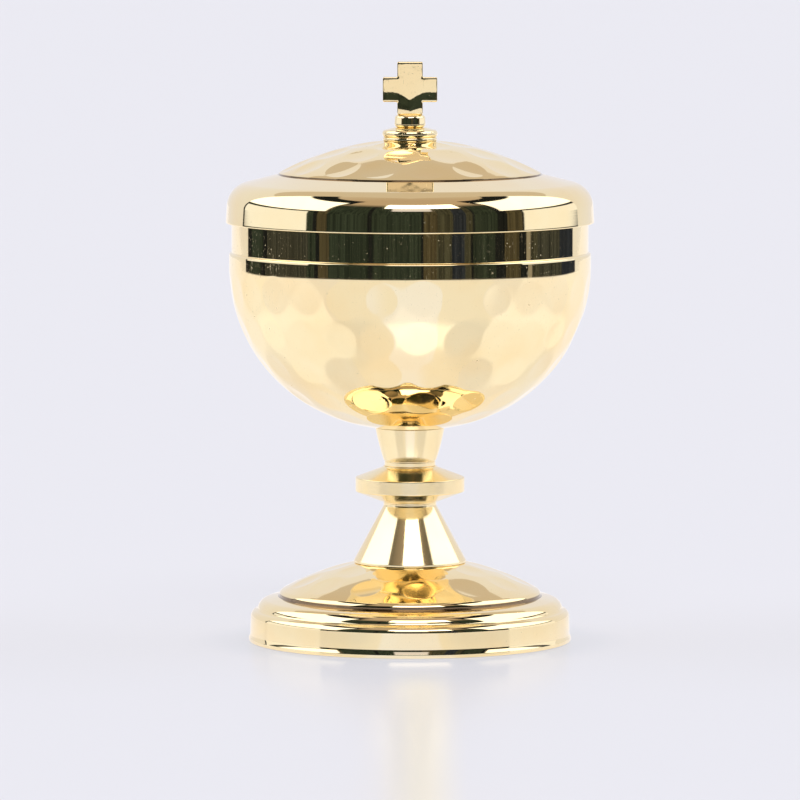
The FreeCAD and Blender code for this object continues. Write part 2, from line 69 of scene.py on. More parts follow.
MM = 0.001
SHEET = 0.9  # thickness of the spun shells, mm
SEAT_GAP = 0.02  # gap where a turned piece seats on a sheet, mm
EDGE = 0.25  # broken edge on turned pieces, mm
SHEET_EDGE = 0.35  # softer bend at a corner of a spun sheet, mm
OUTSIDE_STEP = 0.75  # rough step between points along a sheet's outside and its inside, mm
INSIDE_STEP = 1.6
TURNED_STEP = 0.5  # the same along a turned piece
TURNED_AROUND = 192  # points round a turned piece
INNER_SHARE = 0.8  # depth of a hammer mark on the inside of a sheet, as a share of that outside
DOME_RADIUS = 42.75  # edge of both hammered domes, mm
DOME_FLANK = 41.6  # where a dome starts to roll over its edge, mm
FOOT_DOME_ROLL = 2.3  # radius of that roll on the foot and on the lid, mm
LID_DOME_ROLL = 5.3
FOOT_DOME_ARC = 86.0  # spherical radii of the domes and of the cup's base and side, mm
LID_DOME_ARC = 90.0
CUP_BASE_ARC = 76.0
CUP_SIDE_ARC = 52.87
CUP_BLEND = math.radians(15)  # slope at which the cup's base turns into its side
ROD_HOLE = 3.25  # clearance holes for the tie rod and the finial's stud, mm
STUD_HOLE = 1.6
CROSS_WIDTH = 8.3  # width of the cross's upright, mm
CROSS_ARM = 8.1  # height of its arms, and their height above its foot, mm
CROSS_LEG = 4.2
FRONT = -math.pi / 2  # direction of -Y, the side that the cross faces
DEGREES = 180 / math.pi  # degrees in a radian
ON_AXIS = 1e-6  # a smaller radius counts as none, mm
NO_LENGTH = 1e-12  # least length that is divided by


def low_of(node):
    """Lowest height of a CAD node, in mm."""
    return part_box(node)[0].z / MM


def high_of(node):
    """Highest height of a CAD node, in mm."""
    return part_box(node)[1].z / MM


def dome_height(crown, arc, radius):
    """Height at a radius of a dome whose crown and spherical radius are given."""
    return crown - arc + math.sqrt(arc ** 2 - radius ** 2)


def crown_of(node, arc, hole):
    """Height of a dome's crown, from the edge of the hole through it."""
    return high_of(node) + arc - math.sqrt(arc ** 2 - hole ** 2)


# ---------------------------------------------------------------- outlines and lathe work


def unit(vector):
    """A vector's direction, one long."""
    return vector / max(np.hypot(*vector), NO_LENGTH)


def arc_points(here, there, radius, shares):
    """Points at shares of the arc from here to there; it turns left if the radius is positive."""
    chord = there - here
    length = np.hypot(*chord)
    leftward = np.array([-chord[1], chord[0]]) / length
    reach = math.sqrt(max(radius ** 2 - length ** 2 / 4, 0))
    centre = (here + there) / 2 + leftward * math.copysign(reach, radius)
    start, end = (math.atan2(*(point - centre)[::-1]) for point in (here, there))
    turn = (end - start + math.pi) % (2 * math.pi) - math.pi
    angles = start + turn * shares
    return centre + abs(radius) * np.column_stack([np.cos(angles), np.sin(angles)])


def trace(outline, step, edge):
    """Turns an outline of (radius, height[, arc radius]) entries into close points, in mm.

    The outside is on the path's right. Points crowd towards both ends of each stretch, and each
    corner is rounded off over about edge, unless it is nearly straight.
    """
    nearly_straight = math.cos(math.radians(168))
    room_share, cut_back, corner_points = 0.4, 1.02, 6  # share of a stretch that its corner may take
    points = [np.array(entry[:2], float) for entry in outline]
    stretches = []
    for index in range(1, len(outline)):
        here, there = points[index - 1], points[index]
        count = max(4, math.ceil(np.hypot(*(there - here)) / step) + 2)
        shares = (1 - np.cos(np.pi * np.linspace(0, 1, count))) / 2
        if len(outline[index]) == 2:
            stretches.append(here + (there - here) * shares[:, None])
        else:
            stretches.append(arc_points(here, there, outline[index][2], shares))
    path = [stretches[0]]
    for after in stretches[1:]:
        before, corner = path[-1], after[0]
        back, ahead = unit(before[-2] - corner), unit(after[1] - corner)
        if np.dot(back, ahead) < nearly_straight or edge == 0:
            path.append(after[1:])
            continue
        room = room_share * min(np.hypot(*(before[0] - corner)), np.hypot(*(after[-1] - corner)))
        reach = min(edge, room)
        path[-1] = before[np.hypot(*(before - corner).T) > reach * cut_back]
        t = np.linspace(0, 1, corner_points)[:, None]
        start, end = corner + back * reach, corner + ahead * reach
        path.append((1 - t) ** 2 * start + 2 * t * (1 - t) * corner + t ** 2 * end)
        path.append(after[np.hypot(*(after - corner).T) > reach * cut_back])
    return np.vstack(path)


def normals_of(path):
    """Unit normals of a path, on its right-hand side."""
    tangent = np.gradient(path, axis=0)
    tangent /= np.maximum(np.hypot(*tangent.T), NO_LENGTH)[:, None]
    return np.column_stack([tangent[:, 1], -tangent[:, 0]])


def inside_of(outside):
    """The path one sheet inside another, without the loops that sharp corners would leave."""
    full_share = 0.97  # a point nearer to the outside than this share of the sheet is left out
    inside = outside - normals_of(outside) * SHEET
    inside[:, 0] = np.maximum(inside[:, 0], 0)
    apart = np.hypot(*(inside[:, None] - outside[None]).transpose(2, 0, 1)).min(axis=1)
    return inside[apart > SHEET * full_share]


def lathe(name, path, around, press=None):
    """Sweeps a closed path of (radius, height) points round the axis, pressed with dents if asked."""
    angles = np.linspace(0, 2 * math.pi, around, endpoint=False)
    radius, height = path[:, 0:1], path[:, 1:2]
    across = [radius * np.cos(angles), radius * np.sin(angles), height * np.ones(around)]
    grid = np.stack(across, axis=-1)
    if press is not None:
        grid = press(grid, path, angles)
    vertices, index = [], []
    for ring in range(len(path)):
        first = len(vertices)
        single = path[ring, 0] < ON_AXIS
        vertices.extend(grid[ring, :1] if single else grid[ring])
        index.append([first] * around if single else list(range(first, first + around)))
    faces = []
    for ring in range(len(path)):
        low, high = index[ring], index[(ring + 1) % len(path)]
        for k in range(around):
            m = (k + 1) % around
            face = list(dict.fromkeys([low[k], low[m], high[m], high[k]]))
            if len(face) > 2:
                faces.append(face)
    mesh = bpy.data.meshes.new(name)
    mesh.from_pydata((np.array(vertices) * MM).tolist(), [], faces)
    mesh.shade_smooth()
    mesh.update()
    piece = bpy.data.objects.new(name, mesh)
    bpy.context.scene.collection.objects.link(piece)
    return piece


def hammer_marks(seed, rows, size, depth):
    """Round marks in rows (radius, height, count, first angle), unevenly placed and struck."""
    aside, rise, size_spread, depth_spread = 0.9, 0.5, 0.08, 0.2
    draw = random.Random(seed)
    marks = []
    for radius, height, count, first in rows:
        for number in range(count):
            angle = FRONT + math.radians(first) + 2 * math.pi * number / count
            angle += draw.uniform(-aside, aside) / radius
            place = (radius * math.cos(angle), radius * math.sin(angle), height + draw.uniform(-rise, rise))
            across = size * draw.uniform(1 - size_spread, 1 + size_spread)
            marks.append((*place, across, depth * draw.uniform(1 - depth_spread, 1 + depth_spread)))
    return marks


def presser(marks, outside_count):
    """A function that presses marks into a lathe grid, and the inside of the sheet along with them."""
    def press(grid, path, angles):
        normal = normals_of(path)
        normal[outside_count:] *= -INNER_SHARE
        outward = [normal[:, 0:1] * np.cos(angles), normal[:, 0:1] * np.sin(angles)]
        outward = np.stack([*outward, normal[:, 1:2] * np.ones(len(angles))], axis=-1)
        sink = np.zeros(grid.shape[:2])
        for x, y, z, across, depth in marks:
            away = ((grid - (x, y, z)) ** 2).sum(axis=-1) / (across / 2) ** 2
            dent = depth * np.clip(1 - away, 0, 1)
            sink = np.maximum(sink, dent)
        return grid - outward * sink[..., None]
    return press


def finish_piece(piece, node, material):
    """Gives a piece the body of the CAD node that it stands for and its material, and hides that node."""
    piece.data.materials.append(material)
    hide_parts(node)
    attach(piece, frame["nodes"][node]["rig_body"])


# ---------------------------------------------------------------- materials


def add_node(tree, kind, settings=(), inputs=()):
    """Adds a shader node; inputs are values or the sockets that feed them."""
    made = tree.nodes.new(kind)
    for key, value in dict(settings).items():
        setattr(made, key, value)
    for key, value in dict(inputs).items():
        if isinstance(value, bpy.types.NodeSocket):
            tree.links.new(value, made.inputs[key])
        else:
            made.inputs[key].default_value = value
    return made


def maths(tree, operation, *values, clamp=False):
    """One step of arithmetic on values or sockets."""
    settings = {"operation": operation, "use_clamp": clamp}
    return add_node(tree, "ShaderNodeMath", settings, dict(enumerate(values))).outputs[0]


def product(tree, first, *others):
    """The product of values or sockets."""
    for other in others:
        first = maths(tree, "MULTIPLY", first, other)
    return first


def total(tree, first, *others, clamp=False):
    """The sum of values or sockets, kept within 0 to 1 if clamp is set."""
    for other in others:
        first = maths(tree, "ADD", first, other, clamp=clamp)
    return first


def ramp(tree, value, low, high, to_low=0.0, to_high=1.0):
    """Smoothly carries a value from low..high to to_low..to_high."""
    settings = {"interpolation_type": "SMOOTHSTEP"}
    inputs = {"Value": value, "From Min": low, "From Max": high, "To Min": to_low, "To Max": to_high}
    return add_node(tree, "ShaderNodeMapRange", settings, inputs).outputs["Result"]


def between(tree, value, low, high, soft):
    """One where the value lies between low and high, falling to zero over twice soft."""
    up = ramp(tree, value, low - soft, low + soft)
    down = ramp(tree, value, high - soft, high + soft, 1.0, 0.0)
    return product(tree, up, down)


def mix_colour(tree, share, one, other):
    """One colour, turning into the other as share goes from 0 to 1."""
    inputs = {0: share, 6: one, 7: other}
    return add_node(tree, "ShaderNodeMix", {"data_type": "RGBA"}, inputs).outputs[2]


def noise(tree, vector, scale, detail=2.0, roughness=0.5):
    """Smooth noise with scale waves to each unit of the vector."""
    inputs = {"Vector": vector, "Scale": scale, "Detail": detail, "Roughness": roughness}
    return add_node(tree, "ShaderNodeTexNoise", (), inputs).outputs["Fac"]


def split(tree, vector):
    """The three parts of a vector or colour."""
    return add_node(tree, "ShaderNodeSeparateXYZ", (), {0: vector}).outputs[:3]


def hairlines(tree, position, turn, scales):
    """Fine straight scratches: noise with its waves per metre in three directions, turned."""
    inputs = {0: position, 2: turn, 3: scales}
    stretched = add_node(tree, "ShaderNodeMapping", (), inputs).outputs[0]
    return ramp(tree, noise(tree, stretched, 1.0), low=0.66, high=0.78)


def specks(tree, position, per_metre, share):
    """Small round specks in a share of the cells of a Voronoi pattern."""
    core, rim, fade = 0.08, 0.2, 0.02
    inputs = {"Vector": position, "Scale": per_metre}
    cells = add_node(tree, "ShaderNodeTexVoronoi", {"feature": "F1"}, inputs)
    dot = ramp(tree, cells.outputs["Distance"], core, rim, 1.0, 0.0)
    chosen = ramp(tree, split(tree, cells.outputs["Color"])[0], 1.0 - share, 1.0 + fade - share)
    return product(tree, dot, chosen)


# hairline scratches run two ways: (turn of the pattern, its waves per metre in three directions)
SCRATCHES = (
    ((0.5, 0.9, 0.3), (3000.0, 260.0, 900.0)),
    ((-0.7, 0.2, 1.1), (2600.0, 2200.0, 240.0)),
)
# specks of dust come in two sizes: (cells per metre, share of the cells that hold a speck)
DUST = ((1100.0, 0.10), (420.0, 0.08))


def metal(name, colours, roughness, line_pitch, line_depth, wear, crease=0.0):
    """Metal with lathe lines, uneven polish, and scratches and dust in worn patches.

    line_pitch and line_depth are in mm; wear scales the scratches and the dust; crease is the share
    of painted shade, a dark brown line painted into the crease round a dome.
    """
    line_drift = 0.6 * MM  # how fast the lathe lines change round the piece, per radian
    cloud_scale, smear_scale, patch_scale = 45.0, 160.0, 30.0  # waves per metre
    cloud_share, smear_share = 0.6, 0.4
    smoothest, roughest = 0.7, 1.35
    scratch_roughness, dust_roughness = 0.16, 0.5
    scratch_depth, dust_height = 0.002, 0.012  # mm
    scratch_haze, dust_haze = 0.16, 0.45
    crease_inside, crease_outside, crease_fade = 0.12, 0.3, 0.1  # mm
    material = bpy.data.materials.new(name)
    material.use_nodes = True
    tree = material.node_tree
    shader = tree.nodes["Principled BSDF"]
    position = add_node(tree, "ShaderNodeTexCoord").outputs["Object"]
    x, y, z = split(tree, position)
    radius = maths(tree, "SQRT", total(tree, product(tree, x, x), product(tree, y, y)))
    around = product(tree, maths(tree, "ARCTAN2", y, x), line_drift)
    section = add_node(tree, "ShaderNodeCombineXYZ", (), {0: radius, 1: around, 2: z}).outputs[0]
    lines = noise(tree, section, 1.0 / (line_pitch * MM), detail=3.0, roughness=0.7)
    cloud = noise(tree, position, cloud_scale, detail=3.0)
    smear = noise(tree, position, smear_scale, detail=4.0, roughness=0.6)
    worn = ramp(tree, noise(tree, position, patch_scale), low=0.42, high=0.62, to_low=0.15)
    hairs = maths(tree, "MAXIMUM", *(hairlines(tree, position, *way) for way in SCRATCHES))
    hairs = product(tree, hairs, worn, wear)
    dust = maths(tree, "MAXIMUM", *(specks(tree, position, *size) for size in DUST))
    dust = product(tree, dust, worn, wear)
    uneven = total(tree, product(tree, cloud, cloud_share), product(tree, smear, smear_share))
    rough = ramp(tree, uneven, 0.3, 0.7, to_low=roughness * smoothest, to_high=roughness * roughest)
    rougher = (product(tree, hairs, scratch_roughness), product(tree, dust, dust_roughness))
    rough = total(tree, rough, *rougher, clamp=True)
    relief = total(tree, product(tree, lines, line_depth), product(tree, hairs, -scratch_depth))
    relief = total(tree, relief, product(tree, dust, dust_height))
    bump = add_node(tree, "ShaderNodeBump", (), {"Height": relief, "Distance": MM, "Strength": 1.0})
    haze = total(tree, product(tree, hairs, scratch_haze), product(tree, dust, dust_haze))
    bare = maths(tree, "SUBTRACT", 1.0, haze, clamp=True)
    tree.links.new(bare, shader.inputs["Metallic"])
    tree.links.new(rough, shader.inputs["Roughness"])
    colour = mix_colour(tree, ramp(tree, cloud, low=0.3, high=0.75), *colours)
    # painted shade: a dark brown line painted into the crease round a dome
    if crease:
        inner, outer = (DOME_RADIUS - crease_inside) * MM, (DOME_RADIUS + crease_outside) * MM
        crease_shade = product(tree, between(tree, radius, inner, outer, crease_fade * MM), crease)
        colour = mix_colour(tree, crease_shade, colour, CREASE_SHADE)
    tree.links.new(colour, shader.inputs["Base Color"])
    tree.links.new(bump.outputs[0], shader.inputs["Normal"])
    return material


GOLD = ((1.0, 0.84, 0.50, 1.0), (1.0, 0.79, 0.43, 1.0))
# colour of the painted shade in the crease round a dome
CREASE_SHADE = (0.12, 0.06, 0.035, 1.0)
BRASS = ((0.78, 0.60, 0.30, 1.0), (0.66, 0.48, 0.22, 1.0))
ZINC = ((0.62, 0.63, 0.66, 1.0), (0.50, 0.51, 0.52, 1.0))
polished = metal("polished_gold", GOLD, roughness=0.04, line_pitch=0.45, line_depth=0.001, wear=1.7)
hammered = metal("hammered_gold", GOLD, roughness=0.045, line_pitch=0.5, line_depth=0.0012, wear=0.35,
                 crease=0.85)
turned = metal("turned_gold", GOLD, roughness=0.10, line_pitch=0.16, line_depth=0.005, wear=0.6)
satin = metal("satin_gold", GOLD, roughness=0.17, line_pitch=0.12, line_depth=0.007, wear=0.35)
brass = metal("bare_brass", BRASS, roughness=0.26, line_pitch=0.14, line_depth=0.008, wear=0.5)
zinc = metal("zinc_plated_steel", ZINC, roughness=0.32, line_pitch=0.2, line_depth=0.006, wear=0.5)


# ---------------------------------------------------------------- the vessel's pieces


def spun_shell(node, outline, cap, marks, around, material):
    """A spun shell: outline is its outside; cap is the inner corner of its open edge."""
    cap_room = 0.3  # a point of the inside nearer to the cap than this is left out, mm
    starts_on_axis = outline[0][0] == 0
    full = outline + [cap] if starts_on_axis else [cap] + outline
    outside = trace(full, OUTSIDE_STEP, SHEET_EDGE)
    inside = inside_of(trace(outline, INSIDE_STEP, 0.0))[::-1]
    inside = inside[np.hypot(*(inside - np.array(cap)).T) > cap_room]
    path = np.vstack([outside, inside])
    piece = lathe(node + "_spun", path, around, presser(marks, len(outside)))
    finish_piece(piece, node, material)


def foot_shell():
    """The foot: a flared rim, two rolls, a small step and a hammered dome."""
    crown = crown_of("foot_shell", FOOT_DOME_ARC, ROD_HOLE)
    foot_radius, flare_start, flare_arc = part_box("foot_shell")[1].x / MM, 1.1, 8.0
    wall, rim = (52.15, 2.4), (52.0, 8.0)
    bead, bead_arc = (50.5, 10.1), 2.2
    cove, cove_arc = (49.7, 10.9), 1.0
    shoulder, shoulder_arc = (46.9, 13.6), 3.6
    step_bottom, step_top = 14.5, 15.1
    outline = [
        (foot_radius, 0.0), (foot_radius, flare_start), (*wall, -flare_arc), rim,
        (*bead, bead_arc), (*cove, -cove_arc), (*shoulder, shoulder_arc),
        (DOME_RADIUS, step_bottom), (DOME_RADIUS, step_top),
        (DOME_FLANK, dome_height(crown, FOOT_DOME_ARC, DOME_FLANK), FOOT_DOME_ROLL),
        (ROD_HOLE, dome_height(crown, FOOT_DOME_ARC, ROD_HOLE), FOOT_DOME_ARC),
    ]
    rings = ((23.5, 10, -17), (34.5, 13, 5))  # radius, number of marks, first angle in degrees
    rows = [(radius, dome_height(crown, FOOT_DOME_ARC, radius), count, first)
            for radius, count, first in rings]
    marks = hammer_marks(seed=11, rows=rows, size=11.4, depth=0.38)
    cap = (foot_radius - SHEET, 0.0)
    spun_shell("foot_shell", outline, cap, marks, around=420, material=hammered)


def cup_bowl():
    """The cup: a shallow base, a hammered side, and a plain collar that the lid slips over."""
    bottom, rim = low_of("cup_bowl"), high_of("cup_bowl")
    blend_radius = CUP_BASE_ARC * math.sin(CUP_BLEND)
    blend_height = bottom + CUP_BASE_ARC * (1 - math.cos(CUP_BLEND))
    side_height = blend_height + CUP_SIDE_ARC * math.cos(CUP_BLEND)
    cup_radius, collar_radius, step = 58.86, 58.05, 126.9
    centre_radius = cup_radius - CUP_SIDE_ARC
    fall = cup_radius - collar_radius
    step_arc = 1.1 * fall
    outline = [
        (0.0, bottom), (blend_radius, blend_height, CUP_BASE_ARC), (cup_radius, side_height, CUP_SIDE_ARC),
        (cup_radius, step - fall), (collar_radius, step, step_arc), (collar_radius, rim),
    ]
    # distance down the side in mm, number of marks, first angle in degrees
    rings = ((7.5, 28, 3.3), (21.0, 26, 3.3), (34.0, 21, 7.6), (48.0, 15, 4.5), (61.0, 11, 17))
    rows = []
    for down, count, first in rings:
        slope = down / CUP_SIDE_ARC
        radius = centre_radius + CUP_SIDE_ARC * math.cos(slope)
        rows.append((radius, side_height - CUP_SIDE_ARC * math.sin(slope), count, first))
    marks = hammer_marks(seed=23, rows=rows, size=11.6, depth=0.34)
    cap = (collar_radius - SHEET, rim)
    spun_shell("cup_bowl", outline, cap, marks, around=424, material=polished)


def lid_shell():
    """The lid: a leaning skirt, a sloping shoulder, a small step and a hammered dome."""
    crown = crown_of("lid_shell", LID_DOME_ARC, STUD_HOLE)
    slope, turn, lean = math.radians(14), 8.0, math.radians(3.6)
    centre_radius, centre_height, bottom, step_top = 51.6, 141.75, 136.5, 152.5
    shoulder = (centre_radius + turn * math.sin(slope), centre_height + turn * math.cos(slope))
    skirt = (centre_radius + turn * math.cos(lean), centre_height + turn * math.sin(lean))
    skirt_radius = skirt[0] + (skirt[1] - bottom) * math.tan(lean)
    step_height = shoulder[1] + (shoulder[0] - DOME_RADIUS) * math.tan(slope)
    outline = [
        (skirt_radius, bottom), skirt, (*shoulder, turn), (DOME_RADIUS, step_height), (DOME_RADIUS, step_top),
        (DOME_FLANK, dome_height(crown, LID_DOME_ARC, DOME_FLANK), LID_DOME_ROLL),
        (STUD_HOLE, dome_height(crown, LID_DOME_ARC, STUD_HOLE), LID_DOME_ARC),
    ]
    rings = ((14.5, 7, -24), (26.5, 11, -4), (37.0, 16, 8))  # as on the foot
    rows = [(radius, dome_height(crown, LID_DOME_ARC, radius), count, first)
            for radius, count, first in rings]
    marks = hammer_marks(seed=37, rows=rows, size=12.2, depth=0.58)
    cap = (skirt_radius - SHEET * math.cos(lean), bottom - SHEET * math.sin(lean))
    spun_shell("lid_shell", outline, cap, marks, around=440, material=hammered)


def turned_piece(node, outline, material, edge=EDGE):
    """A solid turned piece with a bore, on a CAD node's outline."""
    piece = lathe(node + "_turned", trace(outline, TURNED_STEP, edge), TURNED_AROUND)
    finish_piece(piece, node, material)


def stem_cone():
    """The cone that stands on the foot's dome, with a narrow neck on top and a cavity inside."""
    seat, crown = FOOT_DOME_ARC + SEAT_GAP, crown_of("foot_shell", FOOT_DOME_ARC, ROD_HOLE) + SEAT_GAP
    foot, top, lip, neck_height, neck = 18.3, high_of("stem_cone"), 0.75, 0.8, 8.6
    cavity, cavity_top, seat_width = 8.2, 41.0, 1.9
    inner = foot - seat_width
    outer_height = dome_height(crown, seat, foot)
    outline = [
        (inner, dome_height(crown, seat, inner)), (foot, outer_height, -seat), (foot, outer_height + lip),
        (neck, top - neck_height), (neck, top), (ROD_HOLE, top), (ROD_HOLE, cavity_top), (cavity, cavity_top),
    ]
    turned_piece("stem_cone", outline, turned, edge=0.3)


def knop():
    """The disc between two cones that is held when the vessel is lifted."""
    bottom, top, neck_height, neck = low_of("knop"), high_of("knop"), 0.3, 8.7
    radius, rim_bottom, rim_top = 17.75, 48.8, 53.3
    outline = [
        (ROD_HOLE, bottom), (neck, bottom), (neck, bottom + neck_height), (radius, rim_bottom),
        (radius, rim_top), (neck, top - neck_height), (neck, top), (ROD_HOLE, top),
    ]
    turned_piece("knop", outline, satin)


def stem_taper():
    """The upper stem: a band, a groove and a flare that carries the cup, with a pocket for its boss."""
    band, groove, foot, radius, swell = 8.3, 8.0, 8.55, 11.3, 80.0
    bottom, band_height, groove_height = low_of("stem_taper"), 1.5, 1.8
    band_top, groove_top = bottom + band_height, bottom + groove_height
    pocket, pocket_floor = 7.7, 62.4
    under = CUP_BASE_ARC + SEAT_GAP
    cup_bottom = low_of("cup_bowl") - SEAT_GAP
    top, pocket_top = (cup_bottom + under - math.sqrt(under ** 2 - r ** 2) for r in (radius, pocket))
    outline = [
        (ROD_HOLE, bottom), (band, bottom), (band, band_top), (groove, band_top), (groove, groove_top),
        (foot, groove_top), (radius, top, swell), (pocket, pocket_top, -under), (pocket, pocket_floor),
        (ROD_HOLE, pocket_floor),
    ]
    turned_piece("stem_taper", outline, turned, edge=0.2)


def finial_pieces():
    """The seat, flange and collar under the cross."""
    fine_edge = 0.1
    seat_arc, seat_crown = LID_DOME_ARC + SEAT_GAP, crown_of("lid_shell", LID_DOME_ARC, STUD_HOLE) + SEAT_GAP
    seat_radius, seat_bead, seat_top = 8.6, 0.8, low_of("finial_flange")
    seat = [
        (STUD_HOLE, dome_height(seat_crown, seat_arc, STUD_HOLE)),
        (seat_radius, dome_height(seat_crown, seat_arc, seat_radius), -seat_arc),
        (seat_radius, seat_top, seat_bead), (STUD_HOLE, seat_top),
    ]
    turned_piece("finial_seat", seat, polished, fine_edge)
    flange_radius, flange_bead, flange_rim, flange_top = 8.3, 1.35, 2.4, high_of("finial_flange")
    radius, rounding, lean, top = 5.05, 1.1, 0.12, high_of("finial_collar")
    flange = [
        (STUD_HOLE, seat_top), (flange_radius, seat_top), (flange_radius, seat_top + flange_rim, flange_bead),
        (radius, flange_top), (STUD_HOLE, flange_top),
    ]
    turned_piece("finial_flange", flange, polished, fine_edge)
    waist = radius - rounding
    collar = [
        (STUD_HOLE, flange_top), (waist, flange_top), (radius, flange_top + rounding, rounding),
        (radius - lean, top - rounding), (waist - lean, top, rounding), (STUD_HOLE, top),
    ]
    turned_piece("finial_collar", collar, polished, fine_edge)


def threaded(node, radius, pitch, around):
    """A rod with a rolled thread: a lathe grid whose radius follows the helix."""
    bottom, top, chamfer, chamfer_slope = low_of(node), high_of(node), pitch / 2, 0.8
    depth, steps, flank, crest_width = 0.6 * pitch, 8, 1.5, 0.25
    heights = np.linspace(bottom, top, math.ceil((top - bottom) / (pitch / steps)))
    end = np.minimum(heights - bottom, top - heights)
    crest = radius - np.maximum(chamfer - end, 0) * chamfer_slope
    path = np.column_stack([crest, heights])
    path = np.vstack([[(0.0, bottom)], path, [(0.0, top)]])

    def cut_thread(grid, path, angles):
        phase = (grid[..., 2] / pitch - angles / (2 * math.pi)) % 1.0
        groove = np.clip(flank * (1 - np.abs(2 * phase - 1)) - crest_width, 0, 1) * depth
        shrink = np.maximum(path[:, 0:1] - groove, 0) / np.maximum(path[:, 0:1], ON_AXIS)
        shrink[path[:, 0] < ON_AXIS] = 0
        grid[..., :2] *= shrink[..., None]
        return grid

    piece = lathe(node + "_threaded", path, around, cut_thread)
    finish_piece(piece, node, zinc)


def softened(amount, width):
    """The amount where it is positive and nothing where it is not, with a soft bend between."""
    largest_power = 60
    return width * math.log1p(math.exp(min(amount / width, largest_power)))


def ripple(x, y, z, depth, wide, tall):
    """Unevenness of a polished face: noise of a depth, in waves of a width and a height."""
    return depth * noise_at(Vector((x / wide, y, z / tall)))


def cross_block():
    """The plain cross in mm, evenly remeshed, with soft edges."""
    low, high = (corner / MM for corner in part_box("cross"))
    upright, arm, leg, soften, voxel = CROSS_WIDTH / 2, CROSS_ARM, CROSS_LEG, 0.35, 0.16
    right = [(upright, low.z), (upright, low.z + leg), (high.x, low.z + leg), (high.x, low.z + leg + arm)]
    right += [(upright, low.z + leg + arm), (upright, high.z)]
    outline = right + [(-across, up) for across, up in reversed(right)]
    solid = bmesh.new()
    front = solid.faces.new([solid.verts.new((across, low.y, up)) for across, up in outline])
    back = bmesh.ops.extrude_face_region(solid, geom=[front])["geom"]
    shift = Vector((0, high.y - low.y, 0))
    corners = [part for part in back if isinstance(part, bmesh.types.BMVert)]
    bmesh.ops.translate(solid, vec=shift, verts=corners)
    bmesh.ops.recalc_face_normals(solid, faces=solid.faces)
    bmesh.ops.bevel(solid, geom=solid.edges, offset=soften, segments=2, profile=0.5, affect="EDGES")
    mesh = bpy.data.meshes.new("cross_block")
    solid.to_mesh(mesh)
    solid.free()
    block = bpy.data.objects.new("cross_block", mesh)
    bpy.context.scene.collection.objects.link(block)
    remesh = block.modifiers.new("even", "REMESH")
    remesh.mode, remesh.voxel_size = "VOXEL", voxel
    relax = block.modifiers.new("relax", "SMOOTH")
    relax.factor, relax.iterations = 0.5, 6
    bpy.context.view_layer.update()
    fine = bpy.data.meshes.new_from_object(block.evaluated_get(bpy.context.evaluated_depsgraph_get()))
    bpy.data.objects.remove(block)
    return fine


def cross():
    """The cast cross: its faces flare out above one knee, draw in below another, and are uneven.

    Both knees are V-shaped: they rise with the distance from the middle, as far as knee_reach.
    """
    low, high = (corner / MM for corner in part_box("cross"))
    upper_knee, upper_slant, lower_knee, lower_slant = low.z + CROSS_LEG + 0.4, 0.6, low.z + 1.2, 0.35
    knee_reach, bend, dish, front_slope, back_slope = 4.0, 0.35, 0.12, 0.062, 0.012
    waves, grain = (0.015, 3.1, 2.3), (0.002, 0.5, 0.4)  # depth, width and height, mm
    fine = cross_block()
    points = np.empty(len(fine.vertices) * 3)
    fine.vertices.foreach_get("co", points)
    points = points.reshape(-1, 3)
    for point in points:
        x, y, z = point
        reach = min(abs(x), knee_reach)
        above = softened(z - (upper_knee + upper_slant * reach), bend)
        below = softened(lower_knee + lower_slant * reach - z, bend)
        uneven = ripple(x, y, z, *waves) + ripple(x, y, z, *grain)
        slope = front_slope if y < 0 else back_slope
        point[1] += (y / high.y) * (slope * (above - below) - dish + uneven)
    fine.vertices.foreach_set("co", (points * MM).ravel())
    fine.shade_smooth()
    fine.update()
    fine.name = "cross_cast"
    piece = bpy.data.objects.new("cross_cast", fine)
    bpy.context.scene.collection.objects.link(piece)
    finish_piece(piece, "cross", polished)


foot_shell()
stem_cone()
knop()
stem_taper()
cup_bowl()
lid_shell()
finial_pieces()
cross()
threaded("tie_rod", radius=3.0, pitch=1.0, around=64)
threaded("finial_stud", radius=1.5, pitch=0.5, around=48)


def keep_node(node, material):
    """Leaves a CAD node as it is, and gives it its material."""
    mesh = frame["nodes"][node].data
    mesh.materials.clear()
    mesh.materials.append(material)


for node in ("cup_boss", "foot_washer", "foot_nut", "lid_washer", "lid_cap_nut"):
    keep_node(node, brass)
for node in ("foot_spring_washer", "lid_spring_washer"):
    keep_node(node, zinc)


# ---------------------------------------------------------------- stage, light and camera

WALL = (0.84, 0.84, 0.91, 1.0)
FLOOR = (0.34, 0.34, 0.36, 1.0)
# the glow that the camera sees on the floor: all over, a painted shadow by the foot, and a painted
# reflection of the stem in the streak before it
SEEN_GLOW = (0.44, 0.44, 0.47, 1.0)
SHADE_GLOW = (0.34, 0.37, 0.43, 1.0)
STREAK_REFLECTION = (0.51, 0.48, 0.40, 1.0)
# the glow that reflections show: all over, painted light patches at both sides, a painted shade in a
# ring round the vessel, and a painted reflection of a soft box in front
UNSEEN_GLOW = (0.61, 0.60, 0.62, 1.0)
SIDE_LIGHT_PATCH = (0.58, 0.58, 0.65, 1.0)
RING_SHADE = (0.52, 0.52, 0.56, 1.0)
FRONT_BOX_REFLECTION = (0.62, 0.66, 0.85, 1.0)
# lights, ceilings and dim surfaces of the room
FRONT_PANEL = (0.75, 0.75, 0.95, 1.0)
SOFT_BOX = (3.5, 3.5, 3.6, 1.0)
SIDE_PANEL = (1.7, 1.75, 1.9, 1.0)
LOW_PANEL = (1.0, 1.03, 1.15, 1.0)
CEILING = (0.50, 0.40, 0.33, 1.0)
BACK_CEILING = (0.62, 0.56, 0.52, 1.0)
BLACK = (0.012, 0.014, 0.016, 1.0)
GREEN = (0.027, 0.038, 0.032, 1.0)
BROWN = (0.068, 0.060, 0.040, 1.0)
OLIVE = (0.052, 0.054, 0.042, 1.0)
BLUE = (0.022, 0.028, 0.045, 1.0)
GREY = (0.045, 0.049, 0.046, 1.0)
WINDOW = (0.30, 0.28, 0.25, 1.0)

